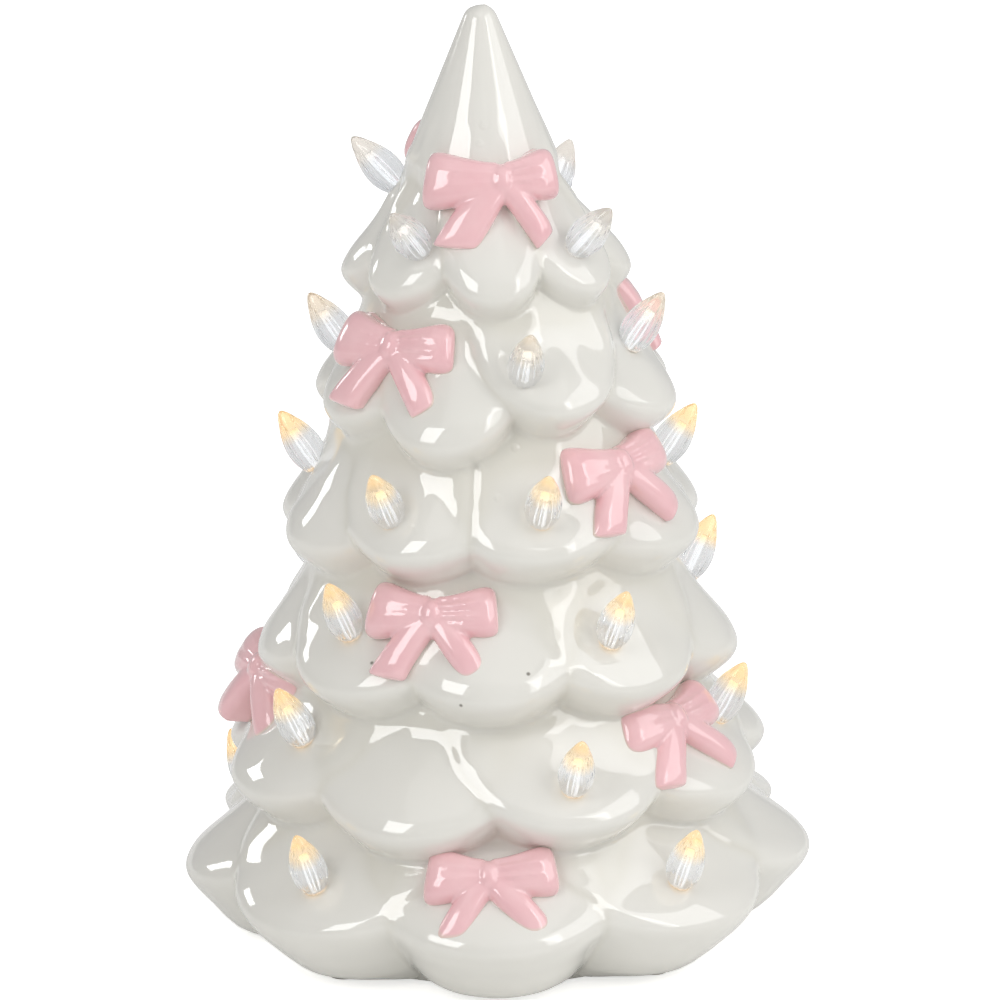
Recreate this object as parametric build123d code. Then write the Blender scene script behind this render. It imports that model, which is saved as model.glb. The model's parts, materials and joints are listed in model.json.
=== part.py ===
from build123d import *

import math
import os

# Ceramic tabletop tree: six tiers of puffed branches with glued-in light pegs and bows,
# over a battery light unit that closes the foot.
# Frame: millimetres, +Z up, origin on the table under the middle of the foot, front towards -Y.
# Azimuths are degrees from the front, growing towards +X.

# Tree shell
tree_height = 262.0
skirt_radius = 86.5
nose_radius = 6.0
nose_lap = 0.4
nose_overlap = 6.0
shell_wall = 4.5
foot_land = 5.0
ledge_width = 5.0
ledge_thickness = 4.0
neck_radius_share = 0.72
underside_drop_share = 0.48
tip_height_shares = (0.722, 0.590, 0.452, 0.318, 0.198, 0.081)
tip_radius_shares = (0.452, 0.600, 0.690, 0.772, 0.880, 1.000)
branch_azimuths = (
    (3, 50, 97, 140, 183, 226, 265, 312),
    (25, 73, 118, 163, 208, 252, 298, 343),
    (14, 66, 113, 158, 203, 252, 294, 333),
    (41, 86, 123, 165, 200, 237, 274, 318, 358),
    (19, 63, 106, 150, 195, 248, 294, 338),
    (0, 45, 90, 127, 180, 233, 270, 315),
)
# Each section of a tier: share of the rise or drop from the branch tips, then shares of the
# reach from the neck to the tips, along a branch and in the valley between two branches.
top_section_shares = ((0.52, 0.465, 0.465), (0.30, 0.66, 0.60), (0.09, 0.93, 0.76), (0.0, 1.0, 0.80))
slope_section_shares = ((1.0, 0.0, 0.0), (0.60, 0.38, 0.30), (0.22, 0.80, 0.58), (0.0, 1.0, 0.70))
under_section_shares = ((0.42, 0.95, 0.62), (1.0, 0.60, 0.30))
foot_section_shares = ((0.45, 0.82, 0.60), (1.0, 0.36, 0.16))
branch_width_shares = (0.35, 0.70)

# Light pegs, one flame shape on a stem: tier, azimuth, share of the slope up from the tips
bulb_length = 18.5
bulb_radius = 5.15
bulb_base_radius = 3.6
bulb_belly_share = 0.33
bulb_shoulder_share = 0.68
bulb_shoulder_radius_share = 0.70
bulb_neck_share = 0.93
bulb_neck_radius_share = 0.27
bulb_seat_sink = 0.8
bulb_seat_clearance = 0.25
stem_radius = 2.3
stem_reach = 7.5
bulb_leans = (46, 57, 57, 62, 62, 66)
bulb_place_shares = (
    (0, -98, 0.62), (0, -37, 0.34), (0, 48, 0.32), (0, 148, 0.34),
    (1, -88, 0.40), (1, 13, 0.43), (1, 72, 0.48), (1, 158, 0.42), (1, -142, 0.42),
    (2, -92, 0.42), (2, -32, 0.36), (2, 15, 0.39), (2, 90, 0.45), (2, 158, 0.39),
    (3, -123, 0.37), (3, -44, 0.43), (3, 34, 0.40), (3, 110, 0.33), (3, -170, 0.40),
    (4, -57, 0.45), (4, 18, 0.29), (4, 75, 0.42), (4, 147, 0.40), (4, -142, 0.40),
    (5, -41, 0.33), (5, 41, 0.33), (5, 128, 0.33), (5, -152, 0.33), (5, -112, 0.33),
)

# Bows: tier, azimuth, share of the slope up from the tips, turn in the plane of the bow
bow_half_span = 18.5
bow_bond_gap = 0.25
bow_lift = 1.2
knot_width = 8.6
knot_height = 9.0
knot_depth = 8.6
loop_height = 14.5
loop_depth = 7.6
tail_length = 17.0
tail_width = 8.4
tail_depth = 5.2
tail_splay = 27
loop_section_shares = ((0.06, 0.34, 0.62), (0.40, 0.74, 0.96), (0.78, 1.0, 1.0), (1.0, 0.84, 0.60))
tail_section_shares = ((0.06, 0.52, 0.90), (0.50, 0.80, 1.0), (1.0, 1.0, 0.72))
bow_place_shares = (
    (0, 4, 0.71, 0), (0, -145, 0.96, 6), (1, -43, 0.52, -13), (1, 112, 0.62, 10),
    (2, 48, 0.61, 22), (2, -140, 0.55, -12), (3, -17, 0.57, -5), (3, 145, 0.55, 14),
    (4, -100, 0.55, -22), (4, 57, 0.54, 24), (5, -1, 0.42, 0), (5, 180, 0.42, 8),
)

# Foot pads
pad_thickness = 1.0
pad_radius = 4.0
pad_margin = 1.2
pad_azimuths = (45, 127, 233, 315)

# Base plate and its foam seal
plate_inset = 1.0
plate_thickness = 3.0
plate_clearance = 0.4
gasket_thickness = 1.0
gasket_inset = 0.5

# Batteries and their bay, which sits behind the middle of the plate
battery_length = 44.5
battery_radius = 5.25
battery_button_radius = 1.9
battery_button_height = 1.0
battery_edge = 0.6
battery_count = 3
battery_spacing = 0.4
battery_clearance = 0.3
bay_back_offset = 7.0
bay_wall = 2.0
contact_room = 3.0

# Battery door, hinged at one end and screwed at the other
door_gap = 0.3
door_tongue_length = 10.0
door_tongue_half_width = 6.0
hinge_pin_radius = 0.8
hinge_pin_length = 2.2
hinge_clearance = 0.05
hinge_end_play = 0.3
boss_height = 8.0
door_screw_radius = 1.0
door_screw_reach = 3.5
door_screw_swing = 0.35
door_screw_clearance = 0.3
door_screw_head_radius = 2.2
door_screw_head_height = 1.4
door_counterbore_clearance = 0.4
door_counterbore_depth = 1.6
head_play = 0.1
driver_slot_width = 0.6
driver_slot_depth = 0.7
driver_slot_length_share = 0.62

# Battery contacts
contact_thickness = 0.4
contact_half_width = 3.6
contact_half_height = 4.2
contact_bump_radius = 2.4
spring_half_height = 3.2
spring_half_width = 2.0
contact_play = 0.05

# Light board
board_radius = 17.0
board_thickness = 1.6
board_standoff_height = 4.0
board_standoff_radius = 2.8
board_screw_spread = 13.0
board_screw_reach = 3.0
led_radius = 2.5
led_flange_radius = 2.9
led_flange_height = 1.0
led_height = 8.6
led_spread = 5.0

# Screws that hold the board and the switch
unit_screw_radius = 1.0
unit_screw_clearance = 0.05
unit_screw_hole_clearance = 0.2
unit_screw_head_radius = 1.9
unit_screw_head_height = 1.3

# Slide switch
switch_front_offset = 32.0
switch_length = 8.8
switch_width = 4.6
switch_height = 4.0
switch_can_wall = 0.5
switch_flange_length = 17.0
switch_flange_thickness = 0.5
switch_screw_spread = 6.6
switch_screw_reach = 2.4
switch_travel = 3.0
slider_block_length = 4.0
slider_block_height = 2.4
slider_clearance = 0.15
knob_length = 2.6
knob_width = 2.2
knob_stand_out = 0.8
knob_slot_clearance = 0.35

# Leads
lead_radius = 0.6
lead_hole_clearance = 0.2
lead_out = 9.0
lead_rise = 9.0
lead_bend_share = 0.45
positive_pad_offset = (11.5, 6.0)
switch_pad_offset = (2.0, -13.0)
switch_terminal_spread = 2.5

# One overrun serves all cuts
overrun = 1.0

# Heights and radii that follow from the sizes above
tier_count = len(tip_height_shares)
tip_heights = [share * tree_height for share in tip_height_shares]
tip_radii = [share * skirt_radius for share in tip_radius_shares]
foot_bottom = pad_thickness
plate_bottom = foot_bottom + plate_inset
plate_top = plate_bottom + plate_thickness
ledge_bottom = plate_top + gasket_thickness
ledge_top = ledge_bottom + ledge_thickness


def polar(radius, azimuth, height):
    angle = math.radians(azimuth)
    return Vector(radius * math.sin(angle), -radius * math.cos(angle), height)


def neck_radius(tier):
    if tier == 0:
        return 0
    return neck_radius_share * tip_radii[tier - 1]


def tier_sections(tier):
    """Height, branch radius and valley radius of each section, from the top down."""
    neck = neck_radius(tier)
    reach = tip_radii[tier] - neck
    if tier == 0:
        above = top_section_shares
        rise = tree_height - tip_heights[tier]
    else:
        above = slope_section_shares
        rise = tip_heights[tier - 1] - tip_heights[tier]
    if tier == tier_count - 1:
        below = foot_section_shares
        drop = tip_heights[tier] - foot_bottom
    else:
        below = under_section_shares
        drop = underside_drop_share * (tip_heights[tier] - tip_heights[tier + 1])
    heights = [tip_heights[tier] + row[0] * rise for row in above]
    heights += [tip_heights[tier] - row[0] * drop for row in below]
    rows = above + below
    return [(z, neck + row[1] * reach, neck + row[2] * reach) for z, row in zip(heights, rows)]


def branch_swell(tier):
    """Azimuths round a tier with the swell there: 1 on a branch, 0 in a valley."""
    azimuths = branch_azimuths[tier]
    following = azimuths[1:] + (azimuths[0] + 360,)
    swell = []
    for azimuth, after in zip(azimuths, following):
        half = (after - azimuth) / 2
        swell.append((azimuth, 1))
        swell += [(azimuth + share * half, 1 - share**2) for share in branch_width_shares]
        swell.append((azimuth + half, 0))
        swell += [(after - share * half, 1 - share**2) for share in reversed(branch_width_shares)]
    return swell


def swell_at(tier, azimuth):
    azimuths = branch_azimuths[tier]
    following = azimuths[1:] + (azimuths[0] + 360,)
    for branch, after in zip(azimuths, following):
        turn = (azimuth - branch) % 360
        if turn <= after - branch:
            half = (after - branch) / 2
            return 1 - (min(turn, after - branch - turn) / half) ** 2


def tier_solid(tier, grow):
    swell = branch_swell(tier)
    knots = [azimuth for azimuth, _ in swell] + [swell[0][0] + 360]
    rings = []
    for height, branch, valley in tier_sections(tier):
        points = [polar(valley + share * (branch - valley) + grow, azimuth, height) for azimuth, share in swell]
        rings.append(Wire([Edge.make_spline(points, periodic=True, parameters=knots)]))
    return Solid.make_loft(rings, ruled=True)


def round_solid(outline):
    """Body turned about the Z axis from an outline of radii and heights."""
    return revolve(Plane.XZ * make_face(outline), Axis.Z)


def nose_solid(grow):
    """Cone above the first tier's crown that runs tangent into the rounded nose."""
    crown_height, crown_radius, _ = tier_sections(0)[0]
    ball = nose_radius + grow
    ball_height = tree_height - nose_radius
    crown = Vector(crown_radius + nose_lap + grow, crown_height)
    span = math.hypot(crown.X, ball_height - crown.Y)
    slant = math.atan2(crown.X, ball_height - crown.Y) - math.asin(ball / span)
    base = crown + Vector(math.tan(slant), -1) * nose_overlap
    touch = Vector(math.cos(slant), math.sin(slant)) * ball + Vector(0, ball_height)
    halfway = math.radians(45) + slant / 2
    middle = Vector(math.cos(halfway), math.sin(halfway)) * ball + Vector(0, ball_height)
    top = Vector(0, ball_height + ball)
    foot = Vector(0, base.Y)
    outline = Polyline(foot, base, touch) + ThreePointArc(touch, middle, top) + Line(top, foot)
    return round_solid(outline)


def tree_solid(grow):
    tree = nose_solid(grow)
    for tier in range(tier_count):
        tree += tier_solid(tier, grow)
    return tree


def tree_hollow():
    """Inside of the casting: plain rounds that keep the wall behind the valleys."""
    hollow = nose_solid(-shell_wall)
    for tier in range(tier_count):
        sections = tier_sections(tier)
        corners = [(valley - shell_wall, height) for height, _, valley in sections]
        corners = [(0, sections[0][0])] + corners + [(0, sections[-1][0])]
        hollow += round_solid(Polyline(*corners, close=True))
    return hollow


def disc(radius, bottom, top):
    return Pos(0, 0, bottom) * Cylinder(radius, top - bottom, align=(Align.CENTER, Align.CENTER, Align.MIN))


def post(x, y, radius, bottom, top):
    return Pos(x, y) * disc(radius, bottom, top)


def slab(x_min, x_max, y_min, y_max, bottom, top):
    corner = (Align.MIN, Align.MIN, Align.MIN)
    return Pos(x_min, y_min, bottom) * Box(x_max - x_min, y_max - y_min, top - bottom, align=corner)


def slope_point(tier, azimuth, share):
    """Point on a tier's upper face, by its share of the height from the tips to the crown."""
    sections = [row for row in tier_sections(tier) if row[0] >= tip_heights[tier]]
    height = tip_heights[tier] + share * (sections[0][0] - tip_heights[tier])
    for upper, lower in zip(sections, sections[1:]):
        if upper[0] >= height >= lower[0]:
            part = (height - lower[0]) / (upper[0] - lower[0])
            branch = lower[1] + part * (upper[1] - lower[1])
            valley = lower[2] + part * (upper[2] - lower[2])
    radius = valley + swell_at(tier, azimuth) * (branch - valley)
    return polar(radius, azimuth, height)


def slope_lift(tier):
    """Angle of a tier's upper face normal above level, in degrees."""
    top_height, top_radius, _ = tier_sections(tier)[0]
    return math.degrees(math.atan2(tip_radii[tier] - top_radius, top_height - tip_heights[tier]))


def outward_plane(origin, azimuth, lift):
    """Plane that faces outwards and up by lift, its x to the right as seen from outside."""
    outward = polar(math.cos(math.radians(lift)), azimuth, math.sin(math.radians(lift)))
    right = polar(1, azimuth + 90, 0)
    return Plane(origin, x_dir=right, z_dir=outward)


# Light pegs
def bulb_plane(tier, azimuth, share):
    plane = outward_plane(slope_point(tier, azimuth, share), azimuth, bulb_leans[tier])
    return plane.offset(-bulb_seat_sink)


def flame_curve(grow):
    base = (bulb_base_radius + grow, 0)
    belly = (bulb_radius + grow, bulb_belly_share * bulb_length)
    shoulder = (bulb_shoulder_radius_share * bulb_radius + grow, bulb_shoulder_share * bulb_length)
    neck = (bulb_neck_radius_share * bulb_radius + grow, bulb_neck_share * bulb_length)
    tip = (0, bulb_length + grow)
    return Spline(base, belly, shoulder, neck, tip, tangents=((1, 1), (-1, 0)))


def bulb_body(grow, stem_length):
    """Flame standing on its seat at height zero, with the stem below."""
    flame = flame_curve(grow)
    stem = stem_radius + grow
    corners = ((0, -stem_length), (stem, -stem_length), (stem, 0))
    return round_solid(flame + Polyline(flame @ 1, *corners, flame @ 0))


def bulb_solid():
    return bulb_body(0, shell_wall + stem_reach)


def bulb_cut():
    """Stem hole through the wall, opening into the seat that the bulb stands in."""
    return bulb_body(bulb_seat_clearance, shell_wall + stem_reach + overrun)


# Bows
def bow_limb(plane, length, width, depth, shares):
    """Puffed limb lofted along a plane's z: distance, width and depth shares of each section."""
    sections = []
    for distance, wide, deep in shares:
        sections.append(plane.offset(distance * length) * Ellipse(wide * width / 2, deep * depth / 2))
    return loft(sections)


def bow_solid(bend):
    """Bow in its own frame: x right, y up the slope, z outwards, bent back round the tree."""
    knot = Pos(0, 0, bow_lift) * scale(Sphere(1), by=(knot_width / 2, knot_height / 2, knot_depth / 2))
    bow = knot
    start = (0, 0, bow_lift)
    for side in (-1, 1):
        along = Vector(side * math.cos(math.radians(bend)), 0, -math.sin(math.radians(bend)))
        loop_plane = Plane(start, x_dir=(0, 1, 0), z_dir=along)
        bow += bow_limb(loop_plane, bow_half_span, loop_height, loop_depth, loop_section_shares)
        splay = math.radians(tail_splay)
        down = Vector(side * math.sin(splay), -math.cos(splay), 0)
        across = Vector(math.cos(splay), side * math.sin(splay), 0)
        tail_plane = Plane(start, x_dir=across, z_dir=down)
        bow += bow_limb(tail_plane, tail_length, tail_width, tail_depth, tail_section_shares)
    return bow


def placed_bow(tier, azimuth, share, turn, tree):
    seat = slope_point(tier, azimuth, share)
    radius = math.hypot(seat.X, seat.Y)
    bend = math.degrees(math.asin(bow_half_span / 2 / radius))
    plane = outward_plane(seat, azimuth, slope_lift(tier)).rotated((0, 0, turn))
    bow = plane * bow_solid(bend) - tree
    return max(bow.solids(), key=lambda solid: solid.volume)


# Foot of the shell: recess for the base plate under a ledge
foot_valley_radius = tier_sections(tier_count - 1)[-1][2]
recess_radius = foot_valley_radius - foot_land
ledge_radius = recess_radius - ledge_width


def shell_solid():
    hollow = tree_hollow() - disc(skirt_radius + overrun, -overrun, ledge_top)
    shell = tree_solid(0) - hollow
    shell -= disc(recess_radius, foot_bottom - overrun, ledge_bottom)
    shell -= disc(ledge_radius, foot_bottom - overrun, ledge_top + overrun)
    for place in bulb_place_shares:
        shell -= bulb_plane(*place) * bulb_cut()
    return shell


def pads_solid():
    reach = recess_radius + pad_margin + pad_radius
    pads = []
    for azimuth in pad_azimuths:
        centre = polar(reach, azimuth, 0)
        pads.append(post(centre.X, centre.Y, pad_radius, 0, pad_thickness))
    return Compound(pads)


# Battery bay places
bay_half_length = battery_length / 2 + contact_room
battery_pitch = 2 * battery_radius + battery_spacing
bay_half_width = (battery_count * battery_pitch + battery_spacing) / 2
bay_front = bay_back_offset - bay_half_width
bay_back = bay_back_offset + bay_half_width
battery_height = plate_top + battery_clearance + battery_radius
bay_ceiling = battery_height + battery_radius + battery_clearance
bay_roof = bay_ceiling + bay_wall
battery_rows = [
    bay_back_offset + (index - (battery_count - 1) / 2) * battery_pitch for index in range(battery_count)
]
lead_hole_radius = lead_radius + lead_hole_clearance
plate_radius = recess_radius - plate_clearance

# Door places
door_top = plate_top - door_gap
door_half_thickness = (door_top - plate_bottom) / 2
hinge_height = plate_bottom + door_half_thickness
hinge_x = -bay_half_length + door_gap + door_half_thickness
tongue_end = bay_half_length + door_tongue_length
door_screw_x = bay_half_length + door_tongue_length / 2
pilot_radius = door_screw_radius + door_screw_swing

# Board places
board_bottom = bay_roof + board_standoff_height
board_top = board_bottom + board_thickness

# Switch places
switch_y = -switch_front_offset
flange_top = plate_top + switch_flange_thickness
switch_top = flange_top + switch_height
knob_rest_x = -switch_travel / 2
slot_half_length = knob_length / 2 + switch_travel / 2 + knob_slot_clearance
slot_half_width = knob_width / 2 + knob_slot_clearance


def across_pin(radius, y_min, y_max):
    """Round along Y on the hinge axis."""
    pin = Cylinder(radius, y_max - y_min, align=(Align.CENTER, Align.CENTER, Align.MIN))
    return Plane((hinge_x, y_min, hinge_height), z_dir=(0, 1, 0)) * pin


def base_plate_solid():
    plate = disc(plate_radius, plate_bottom, plate_top)
    plate += slab(-bay_half_length - bay_wall, bay_half_length + bay_wall, bay_front - bay_wall,
                  bay_back + bay_wall, plate_top, bay_roof)
    boss_half_width = door_tongue_half_width + bay_wall
    plate += slab(bay_half_length, tongue_end + bay_wall, bay_back_offset - boss_half_width,
                  bay_back_offset + boss_half_width, plate_top, plate_top + boss_height)
    plate -= slab(-bay_half_length, bay_half_length, bay_front, bay_back, plate_bottom - overrun, bay_ceiling)
    plate -= slab(0, tongue_end, bay_back_offset - door_tongue_half_width,
                  bay_back_offset + door_tongue_half_width, plate_bottom - overrun, plate_top)
    plate -= post(door_screw_x, bay_back_offset, pilot_radius, plate_top - overrun,
                  plate_top + door_screw_reach + overrun)
    pin_room = hinge_pin_length + hinge_end_play
    plate -= across_pin(hinge_pin_radius + hinge_clearance, bay_front - pin_room, bay_back + pin_room)
    lead_hole = Cylinder(lead_hole_radius, bay_wall + overrun, align=(Align.CENTER, Align.CENTER, Align.MIN))
    plate -= Plane((bay_half_length, battery_rows[-1], battery_height), z_dir=(1, 0, 0)) * lead_hole
    plate -= Plane((-bay_half_length, battery_rows[0], battery_height), z_dir=(-1, 0, 0)) * lead_hole
    for side in (-1, 1):
        x = side * board_screw_spread
        plate += post(x, bay_back_offset, board_standoff_radius, bay_roof, board_bottom)
        plate -= post(x, bay_back_offset, unit_screw_radius + unit_screw_clearance,
                      board_bottom - board_screw_reach - overrun, board_bottom + overrun)
        plate -= post(side * switch_screw_spread, switch_y, unit_screw_radius + unit_screw_clearance,
                      plate_top - switch_screw_reach, plate_top + overrun)
    plate -= slab(-slot_half_length, slot_half_length, switch_y - slot_half_width,
                  switch_y + slot_half_width, plate_bottom - overrun, plate_top + overrun)
    return plate


def gasket_solid():
    ring = disc(plate_radius, plate_top, ledge_bottom)
    return ring - disc(ledge_radius + gasket_inset, plate_top - overrun, ledge_bottom + overrun)


def door_solid():
    y_min = bay_front + door_gap
    y_max = bay_back - door_gap
    door = slab(hinge_x, bay_half_length - door_gap, y_min, y_max, plate_bottom, door_top)
    door += across_pin(door_half_thickness, y_min, y_max)
    door += across_pin(hinge_pin_radius, bay_front - hinge_pin_length, bay_back + hinge_pin_length)
    tongue = door_tongue_half_width - door_gap
    door += slab(0, tongue_end - door_gap, bay_back_offset - tongue, bay_back_offset + tongue,
                 plate_bottom, door_top)
    door -= post(door_screw_x, bay_back_offset, door_screw_radius + door_screw_clearance,
                 plate_bottom - overrun, door_top + overrun)
    door -= post(door_screw_x, bay_back_offset, door_screw_head_radius + door_counterbore_clearance,
                 plate_bottom - overrun, plate_bottom + door_counterbore_depth)
    return door


def screw_solid(x, y, under_head, head_radius, head_height, shank_radius, shank_length):
    """Screw standing on its head's seat, with the head above and the shank below it."""
    head = post(x, y, head_radius, under_head, under_head + head_height)
    for turn in (0, 90):
        groove = Box(2 * head_radius * driver_slot_length_share, driver_slot_width, 2 * driver_slot_depth)
        head -= Pos(x, y, under_head + head_height) * Rot(0, 0, turn) * groove
    return head + post(x, y, shank_radius, under_head - shank_length, under_head)


def door_screw_solid():
    """Screw up into the boss, its head in the door's counterbore."""
    seat = plate_bottom + door_counterbore_depth - head_play
    shank = plate_top + door_screw_reach - seat
    screw = screw_solid(0, 0, 0, door_screw_head_radius, door_screw_head_height, door_screw_radius, shank)
    return Pos(door_screw_x, bay_back_offset, seat) * Rot(180, 0, 0) * screw


def battery_solid(row, pointing):
    """Cell along X, its button towards +X or -X."""
    can_length = battery_length - battery_button_height
    align = (Align.CENTER, Align.CENTER, Align.MIN)
    can = Cylinder(battery_radius, can_length, align=align)
    can = fillet(can.edges().filter_by(GeomType.CIRCLE), battery_edge)
    button = Cylinder(battery_button_radius, battery_button_height, align=align)
    cell = can + Pos(0, 0, can_length) * button
    start = (-pointing * battery_length / 2, row, battery_height)
    return Plane(start, z_dir=(pointing, 0, 0)) * cell


def contact_plate(side, row_from, row_to):
    inner = side * (bay_half_length - contact_thickness)
    outer = side * bay_half_length
    return slab(min(inner, outer), max(inner, outer), row_from - contact_half_width, row_to + contact_half_width,
                battery_height - contact_half_height, battery_height + contact_half_height)


def contact_bump(side, row):
    """Raised stud that meets a cell's button."""
    height = contact_room - contact_thickness - contact_play
    stud = Cylinder(contact_bump_radius, height, align=(Align.CENTER, Align.CENTER, Align.MIN))
    return Plane((side * (bay_half_length - contact_thickness), row, battery_height), z_dir=(-side, 0, 0)) * stud


def contact_spring(side, row):
    """Leaf bent to a ridge that meets a cell's flat end."""
    reach = contact_room - contact_thickness - contact_play
    outside = [(0, -spring_half_height), (reach, 0), (0, spring_half_height)]
    inner_half_height = spring_half_height - 2 * contact_thickness
    inner_reach = reach * inner_half_height / spring_half_height
    inside = [(0, inner_half_height), (inner_reach, 0), (0, -inner_half_height)]
    leaf = extrude(make_face(Polyline(*outside, *inside, close=True)), spring_half_width, both=True)
    origin = (side * (bay_half_length - contact_thickness), row, battery_height)
    return Plane(origin, x_dir=(-side, 0, 0), z_dir=(0, side, 0)) * leaf


def bridge_contacts_solid():
    """Two links in series: each joins a flat end to the next cell's button."""
    right = contact_plate(1, battery_rows[0], battery_rows[1])
    right += contact_spring(1, battery_rows[1]) + contact_bump(1, battery_rows[0])
    left = contact_plate(-1, battery_rows[1], battery_rows[2])
    left += contact_spring(-1, battery_rows[2]) + contact_bump(-1, battery_rows[1])
    return Compound([right, left])


def end_contacts_solid():
    positive = contact_plate(1, battery_rows[2], battery_rows[2]) + contact_bump(1, battery_rows[2])
    negative = contact_plate(-1, battery_rows[0], battery_rows[0]) + contact_spring(-1, battery_rows[0])
    return Compound([positive, negative])


def board_solid():
    board = post(0, bay_back_offset, board_radius, board_bottom, board_top)
    for side in (-1, 1):
        board -= post(side * board_screw_spread, bay_back_offset, unit_screw_radius + unit_screw_hole_clearance,
                      board_bottom - overrun, board_top + overrun)
    return board


def led_solid(x, y):
    body_top = board_top + led_height - led_radius
    body = post(x, y, led_flange_radius, board_top, board_top + led_flange_height)
    body += post(x, y, led_radius, board_top, body_top)
    return body + Pos(x, y, body_top) * Sphere(led_radius)


def leds_solid():
    places = [(x, bay_back_offset + y) for x in (-led_spread, led_spread) for y in (-led_spread, led_spread)]
    return Compound([led_solid(x, y) for x, y in places])


def unit_screws_solid():
    screws = []
    for side in (-1, 1):
        screws.append(screw_solid(side * board_screw_spread, bay_back_offset, board_top, unit_screw_head_radius,
                                  unit_screw_head_height, unit_screw_radius, board_thickness + board_screw_reach))
        shank = switch_flange_thickness + switch_screw_reach
        screws.append(screw_solid(side * switch_screw_spread, switch_y, flange_top, unit_screw_head_radius,
                                  unit_screw_head_height, unit_screw_radius, shank))
    return Compound(screws)


def switch_body_solid():
    half_length = switch_length / 2
    half_width = switch_width / 2
    body = slab(-half_length, half_length, switch_y - half_width, switch_y + half_width, plate_top, switch_top)
    half_flange = switch_flange_length / 2
    body += slab(-half_flange, half_flange, switch_y - half_width, switch_y + half_width, plate_top, flange_top)
    body -= slab(-half_length + switch_can_wall, half_length - switch_can_wall,
                 switch_y - half_width + switch_can_wall, switch_y + half_width - switch_can_wall,
                 flange_top, switch_top - switch_can_wall)
    body -= slab(-slot_half_length, slot_half_length, switch_y - slot_half_width, switch_y + slot_half_width,
                 plate_top - overrun, flange_top)
    for side in (-1, 1):
        body -= post(side * switch_screw_spread, switch_y, unit_screw_radius + unit_screw_hole_clearance,
                     plate_top - overrun, flange_top + overrun)
    return body


def switch_slider_solid():
    half_block = slider_block_length / 2
    half_width = switch_width / 2 - switch_can_wall - slider_clearance
    block_bottom = flange_top + slider_clearance
    block = slab(knob_rest_x - half_block, knob_rest_x + half_block, switch_y - half_width, switch_y + half_width,
                 block_bottom, block_bottom + slider_block_height)
    return block + slab(knob_rest_x - knob_length / 2, knob_rest_x + knob_length / 2, switch_y - knob_width / 2,
                        switch_y + knob_width / 2, plate_bottom - knob_stand_out, block_bottom)


def lead_solid(points):
    """Wire along straight runs with bends as large as the shorter run beside each one allows."""
    points = [Vector(*point) for point in points]
    runs = [after - before for before, after in zip(points, points[1:])]
    bends = []
    for run, after in zip(runs, runs[1:]):
        half_turn = math.radians(run.get_angle(after)) / 2
        bends.append(lead_bend_share * min(run.length, after.length) / math.tan(half_turn))
    path = FilletPolyline(*points, radius=bends)
    return sweep(Plane(points[0], z_dir=runs[0]) * Circle(lead_radius), path=path)


def pad_point(offset, height):
    return (offset[0], bay_back_offset + offset[1], height)


def lead_red_solid():
    """From the positive end contact, out of the bay and up to the board."""
    over = board_top + lead_rise
    row = battery_rows[-1]
    outside = bay_half_length + lead_out
    return lead_solid([(bay_half_length, row, battery_height), (outside, row, battery_height),
                       (outside, row, over), pad_point(positive_pad_offset, over),
                       pad_point(positive_pad_offset, board_top)])


def lead_black_solid():
    """From the negative end contact, out of the bay and over to the switch."""
    over = board_bottom
    row = battery_rows[0]
    outside = -bay_half_length - lead_out
    return lead_solid([(-bay_half_length, row, battery_height), (outside, row, battery_height),
                       (outside, row, over), (-switch_terminal_spread, switch_y, over),
                       (-switch_terminal_spread, switch_y, switch_top)])


def switch_lead_solid():
    over = board_top + lead_rise
    return lead_solid([(switch_terminal_spread, switch_y, switch_top), (switch_terminal_spread, switch_y, over),
                       pad_point(switch_pad_offset, over), pad_point(switch_pad_offset, board_top)])


def part_nodes():
    nodes = {
        "tree_shell": shell_solid(),
        "foot_pads": pads_solid(),
        "base_plate": base_plate_solid(),
        "base_gasket": gasket_solid(),
        "battery_door": door_solid(),
        "door_screw": door_screw_solid(),
        "bridge_contacts": bridge_contacts_solid(),
        "end_contacts": end_contacts_solid(),
        "led_board": board_solid(),
        "leds": leds_solid(),
        "unit_screws": unit_screws_solid(),
        "switch_body": switch_body_solid(),
        "switch_slider": switch_slider_solid(),
        "lead_red": lead_red_solid(),
        "lead_black": lead_black_solid(),
        "switch_lead": switch_lead_solid(),
    }
    for index, row in enumerate(battery_rows):
        pointing = 1 if index % 2 == 0 else -1
        nodes[f"battery_{index + 1}"] = battery_solid(row, pointing)
    for index, place in enumerate(bulb_place_shares):
        nodes[f"bulb_{index + 1:02d}"] = bulb_plane(*place) * bulb_solid()
    tree = tree_solid(bow_bond_gap)
    for index, place in enumerate(bow_place_shares):
        nodes[f"bow_{index + 1:02d}"] = placed_bow(*place, tree)
    return nodes


os.makedirs("parts", exist_ok=True)
for name, solid in part_nodes().items():
    export_step(solid, f"parts/{name}.step")
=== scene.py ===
import json
import math

import bmesh
import bpy
import numpy as np
from mathutils import Matrix, Vector


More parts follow.
